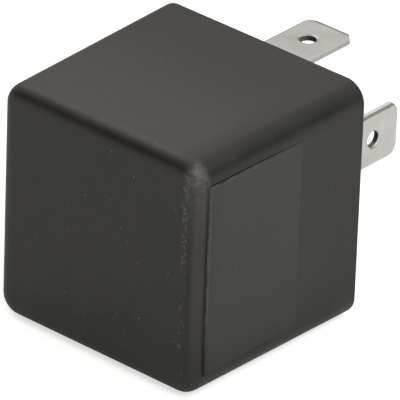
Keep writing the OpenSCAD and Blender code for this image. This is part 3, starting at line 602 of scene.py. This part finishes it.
# ---------------------------------------------------------------- coil
def winding_tree():
    """Turns of wire side by side round the bobbin, as a node tree with its own inputs."""
    tree = bpy.data.node_groups.new("winding", "GeometryNodeTree")
    face = tree.interface
    face.new_socket("Geometry", in_out="OUTPUT", socket_type="NodeSocketGeometry")
    sockets = {}
    for name, kind, value in (
        ("Turns", "NodeSocketFloat", 30.0),
        ("Radius", "NodeSocketFloat", 7 * MM),
        ("Length", "NodeSocketFloat", 8 * MM),
        ("Wire radius", "NodeSocketFloat", 0.12 * MM),
    ):
        socket = face.new_socket(name, in_out="INPUT", socket_type=kind)
        socket.default_value = value
        sockets[name] = socket.identifier
    group_in = add(tree, "NodeGroupInput")
    group_out = add(tree, "NodeGroupOutput")
    turns = add(tree, "GeometryNodeCurveSpiral")
    put(turns, Resolution=56)
    section = add(tree, "GeometryNodeCurvePrimitiveCircle")
    put(section, Resolution=8)
    sweep = add(tree, "GeometryNodeCurveToMesh")
    sweep.inputs["Fill Caps"].default_value = True
    turn_round = add(tree, "GeometryNodeTransform")
    turn_round.inputs["Rotation"].default_value = (math.pi / 2, 0, 0)
    realize = add(tree, "GeometryNodeRealizeInstances")
    paint = add(tree, "GeometryNodeSetMaterial")
    paint.inputs["Material"].default_value = MATERIALS["coil_copper"]
    link = tree.links.new
    link(group_in.outputs["Turns"], turns.inputs["Rotations"])
    link(group_in.outputs["Radius"], turns.inputs["Start Radius"])
    link(group_in.outputs["Radius"], turns.inputs["End Radius"])
    link(group_in.outputs["Length"], turns.inputs["Height"])
    link(group_in.outputs["Wire radius"], section.inputs["Radius"])
    link(turns.outputs["Curve"], sweep.inputs["Curve"])
    link(section.outputs["Curve"], sweep.inputs["Profile Curve"])
    link(sweep.outputs[0], turn_round.inputs[0])
    link(turn_round.outputs[0], realize.inputs[0])
    link(realize.outputs[0], paint.inputs[0])
    link(paint.outputs[0], group_out.inputs[0])
    return tree, sockets


def tube(path, radius, sides=10):
    """A closed round bar along a path of points, as (vertices, faces) in mm."""
    verts, faces = [], []
    side = None
    for i, point in enumerate(path):
        ahead = (path[min(i + 1, len(path) - 1)] - path[max(i - 1, 0)]).normalized()
        if side is None:
            side = ahead.orthogonal().normalized()
        side = (side - ahead * side.dot(ahead)).normalized()
        up = ahead.cross(side)
        for k in range(sides):
            a = 2 * math.pi * k / sides
            verts.append(point + (side * math.cos(a) + up * math.sin(a)) * radius)
    for i in range(len(path) - 1):
        for k in range(sides):
            m = (k + 1) % sides
            faces.append((i * sides + k, i * sides + m, (i + 1) * sides + m, (i + 1) * sides + k))
    last = (len(path) - 1) * sides
    faces.append(tuple(reversed(range(sides))))
    faces.append(tuple(range(last, last + sides)))
    return verts, faces


def wrapped_end(sx):
    """The wire's way from the winding to a terminal's tag, and its turns round the tag."""
    tag = Vector((sx * TAG_X, 0, TAG_ROW))
    half_t, half_w, corner = TAG_T / 2 + LEAD_R, TAG_W / 2 + LEAD_R, LEAD_R
    loop = []
    for cx, cz, start in ((1, 1, 0), (-1, 1, 90), (-1, -1, 180), (1, -1, 270)):
        for step in range(5):
            a = math.radians(start + 22.5 * step)
            loop.append((cx * (half_t - corner) + corner * math.cos(a),
                         cz * (half_w - corner) + corner * math.sin(a)))
    loop = [(-half_t, 0.0)] + loop[10:] + loop[:10]
    rise = TAG_ROW - COIL_ROW
    inside = math.sqrt(WINDING_R ** 2 - rise ** 2) - 0.5
    path = [Vector((sx * inside, WRAP_Y, TAG_ROW)),
            Vector((sx * (TAG_X - half_t) - sx * 0.4, WRAP_Y, TAG_ROW))]
    count = len(loop)
    for i in range(WRAP_TURNS * count):
        x, z = loop[i % count]
        path.append(tag + Vector((sx * x, WRAP_Y - 2 * LEAD_R * i / count, z)))
    return tube(path, LEAD_R * 0.97)


def make_coil():
    low = min(v.co.y for v in NODES["bobbin"].data.vertices)
    high = max(v.co.y for v in NODES["bobbin"].data.vertices)
    start, end = high - FLANGE_T * MM, low + FLANGE_T * MM
    wire = COIL_WIRE_R * MM
    length = start - end - 2 * wire
    tree, sockets = winding_tree()
    carrier = bpy.data.objects.new("winding", bpy.data.meshes.new("winding"))
    bpy.context.scene.collection.objects.link(carrier)
    rule = carrier.modifiers.new("winding", "NODES")
    rule.node_group = tree
    rule[sockets["Turns"]] = length / (2 * wire * 1.01)
    rule[sockets["Radius"]] = WINDING_R * MM - wire
    rule[sockets["Length"]] = length
    rule[sockets["Wire radius"]] = wire
    carrier.update_tag()
    graph = bpy.context.evaluated_depsgraph_get()
    turns = bpy.data.meshes.new_from_object(carrier.evaluated_get(graph))
    bpy.data.objects.remove(carrier)
    turns.transform(Matrix.Translation((0, start - wire, COIL_ROW * MM)))
    bm = bmesh.new()
    bm.from_mesh(turns)
    rings = []
    for y, r in ((start, BOBBIN_BARREL_R), (start, WINDING_R - COIL_WIRE_R),
                 (end, WINDING_R - COIL_WIRE_R), (end, BOBBIN_BARREL_R)):
        rings.append([bm.verts.new((r * MM * math.cos(a), y, COIL_ROW * MM + r * MM * math.sin(a)))
                      for a in (2 * math.pi * i / 72 for i in range(72))])
    for i, ring_a in enumerate(rings):
        ring_b = rings[(i + 1) % 4]
        for k in range(72):
            m = (k + 1) % 72
            bm.faces.new((ring_a[k], ring_a[m], ring_b[m], ring_b[k]))
    for sx in (-1, 1):
        verts, faces = wrapped_end(sx)
        new = [bm.verts.new(v * MM) for v in verts]
        for face in faces:
            bm.faces.new([new[k] for k in face])
    bmesh.ops.recalc_face_normals(bm, faces=bm.faces)
    mesh = mesh_from_bmesh("copper_coil", bm)
    smooth(mesh, 50)
    return link_mesh("copper_coil", mesh, "housing", "coil_copper", ("coil_winding",))


make_coil()


# ---------------------------------------------------------------- floor, light and camera
def make_stage():
    floor_z = cad_low.z
    mesh = bpy.data.meshes.new("studio_floor")
    reach = 2.5
    mesh.from_pydata(
        [(-reach, -reach, floor_z), (reach, -reach, floor_z), (reach, reach, floor_z),
         (-reach, reach, floor_z)], [], [(0, 1, 2, 3)]
    )
    floor = bpy.data.objects.new("studio_floor", mesh)
    bpy.context.scene.collection.objects.link(floor)
    mat = bpy.data.materials.new("studio_paper")
    mat.use_nodes = True
    tree = mat.node_tree
    shader = tree.nodes["Principled BSDF"]
    shader.inputs["Base Color"].default_value = (0.74, 0.74, 0.72, 1)
    shader.inputs["Roughness"].default_value = 0.9
    shader.inputs["Emission Color"].default_value = (1, 1, 1, 1)
    path = add(tree, "ShaderNodeLightPath")
    seen = path.outputs["Is Camera Ray"]
    tree.links.new(math_node(tree, "MULTIPLY", seen, 0.6), shader.inputs["Emission Strength"])
    mesh.materials.append(mat)


WARM, PLAIN = (1.0, 0.975, 0.94), (1.0, 0.995, 0.985)
SKY_GLOWS = (  # direction of a soft glow in the studio, its strength and its tint
    ((-0.566, 0.665, 0.487), 0.36, WARM),
    ((-0.566, 0.2, 0.8), 1.33, WARM),
    ((-0.566, -0.3, 0.77), 0.50, WARM),
    ((-0.1, 0.665, 0.74), 0.93, WARM),
    ((0.42, 0.665, 0.62), 0.14, PLAIN),
    ((0.7, 0.0, 0.7), 3.16, PLAIN),
    ((0.6, -0.75, 0.25), 2.06, WARM),
    ((-0.95, 0.2, 0.2), 0.50, WARM),
)
SKY_GLOW_POWER = 10.0


def make_world():
    """A white studio to the camera, and soft glows from its walls on the object."""
    world = bpy.data.worlds.new("studio")
    bpy.context.scene.world = world
    world.use_nodes = True
    tree = world.node_tree
    tree.nodes.clear()
    out = add(tree, "ShaderNodeOutputWorld")
    light = add(tree, "ShaderNodeBackground")
    white = add(tree, "ShaderNodeBackground")
    direction = add(tree, "ShaderNodeTexCoord").outputs["Generated"]
    total = None
    for toward, strength, tint in SKY_GLOWS:
        dot = add(tree, "ShaderNodeVectorMath", operation="DOT_PRODUCT")
        tree.links.new(direction, dot.inputs[0])
        dot.inputs[1].default_value = Vector(toward).normalized()
        glow = math_node(tree, "MAXIMUM", dot.outputs["Value"], 0.0)
        glow = math_node(tree, "POWER", glow, SKY_GLOW_POWER)
        glow = math_node(tree, "MULTIPLY", glow, strength)
        tinted = add(tree, "ShaderNodeVectorMath", operation="SCALE")
        tinted.inputs[0].default_value = tint
        tree.links.new(glow, tinted.inputs["Scale"])
        if total is None:
            total = tinted.outputs[0]
        else:
            both = add(tree, "ShaderNodeVectorMath", operation="ADD")
            tree.links.new(total, both.inputs[0])
            tree.links.new(tinted.outputs[0], both.inputs[1])
            total = both.outputs[0]
    tree.links.new(total, light.inputs["Color"])
    white.inputs["Color"].default_value = (1, 1, 1, 1)
    path = add(tree, "ShaderNodeLightPath")
    mix = add(tree, "ShaderNodeMixShader")
    tree.links.new(path.outputs["Is Camera Ray"], mix.inputs[0])
    tree.links.new(light.outputs[0], mix.inputs[1])
    tree.links.new(white.outputs[0], mix.inputs[2])
    tree.links.new(mix.outputs[0], out.inputs[0])


def area_lamp(name, place, aim, size, watts):
    data = bpy.data.lights.new(name, "AREA")
    data.shape = "RECTANGLE"
    data.size, data.size_y = size
    data.energy = watts
    lamp = bpy.data.objects.new(name, data)
    bpy.context.scene.collection.objects.link(lamp)
    lamp.location = place
    lamp.rotation_mode = "QUATERNION"
    lamp.rotation_quaternion = (Vector(aim) - Vector(place)).to_track_quat("-Z", "Y")


CAMERA_LENS = 607.2
CAMERA_AZIMUTH = math.radians(40.40)  # from -Y towards +X
CAMERA_ELEVATION = math.radians(29.16)
CAMERA_ROLL = math.radians(2.01)
CAMERA_DISTANCE = 700.0
AIM_RIGHT, AIM_UP = 2.286, -0.116  # where the camera points, beside the cap's middle
MIDDLE = Vector((0.0, -CAP_DEPTH / 2 * MM, 0.0))


def make_camera():
    data = bpy.data.cameras.new("camera")
    data.lens = CAMERA_LENS
    data.sensor_width = 36.0
    data.clip_start, data.clip_end = 0.01, 20.0
    cam = bpy.data.objects.new("camera", data)
    bpy.context.scene.collection.objects.link(cam)
    level = math.cos(CAMERA_ELEVATION)
    back = Vector((level * math.sin(CAMERA_AZIMUTH), -level * math.cos(CAMERA_AZIMUTH),
                   math.sin(CAMERA_ELEVATION)))
    right = Vector((math.cos(CAMERA_AZIMUTH), math.sin(CAMERA_AZIMUTH), 0.0))
    up = back.cross(right).normalized()
    right, up = (
        right * math.cos(CAMERA_ROLL) + up * math.sin(CAMERA_ROLL),
        up * math.cos(CAMERA_ROLL) - right * math.sin(CAMERA_ROLL),
    )
    place = MIDDLE + back * CAMERA_DISTANCE * MM
    aim = MIDDLE + right * AIM_RIGHT * MM + up * AIM_UP * MM
    toward = (place - aim).normalized()
    right = (right - toward * right.dot(toward)).normalized()
    up = toward.cross(right)
    cam.matrix_world = Matrix((
        (right.x, up.x, toward.x, place.x),
        (right.y, up.y, toward.y, place.y),
        (right.z, up.z, toward.z, place.z),
        (0, 0, 0, 1),
    ))
    bpy.context.scene.camera = cam


make_stage()
make_world()
area_lamp("key", (0.45, -0.40, 0.80), MIDDLE, (0.25, 0.25), 1.2)
make_camera()
bpy.context.scene.view_settings.view_transform = "Standard"
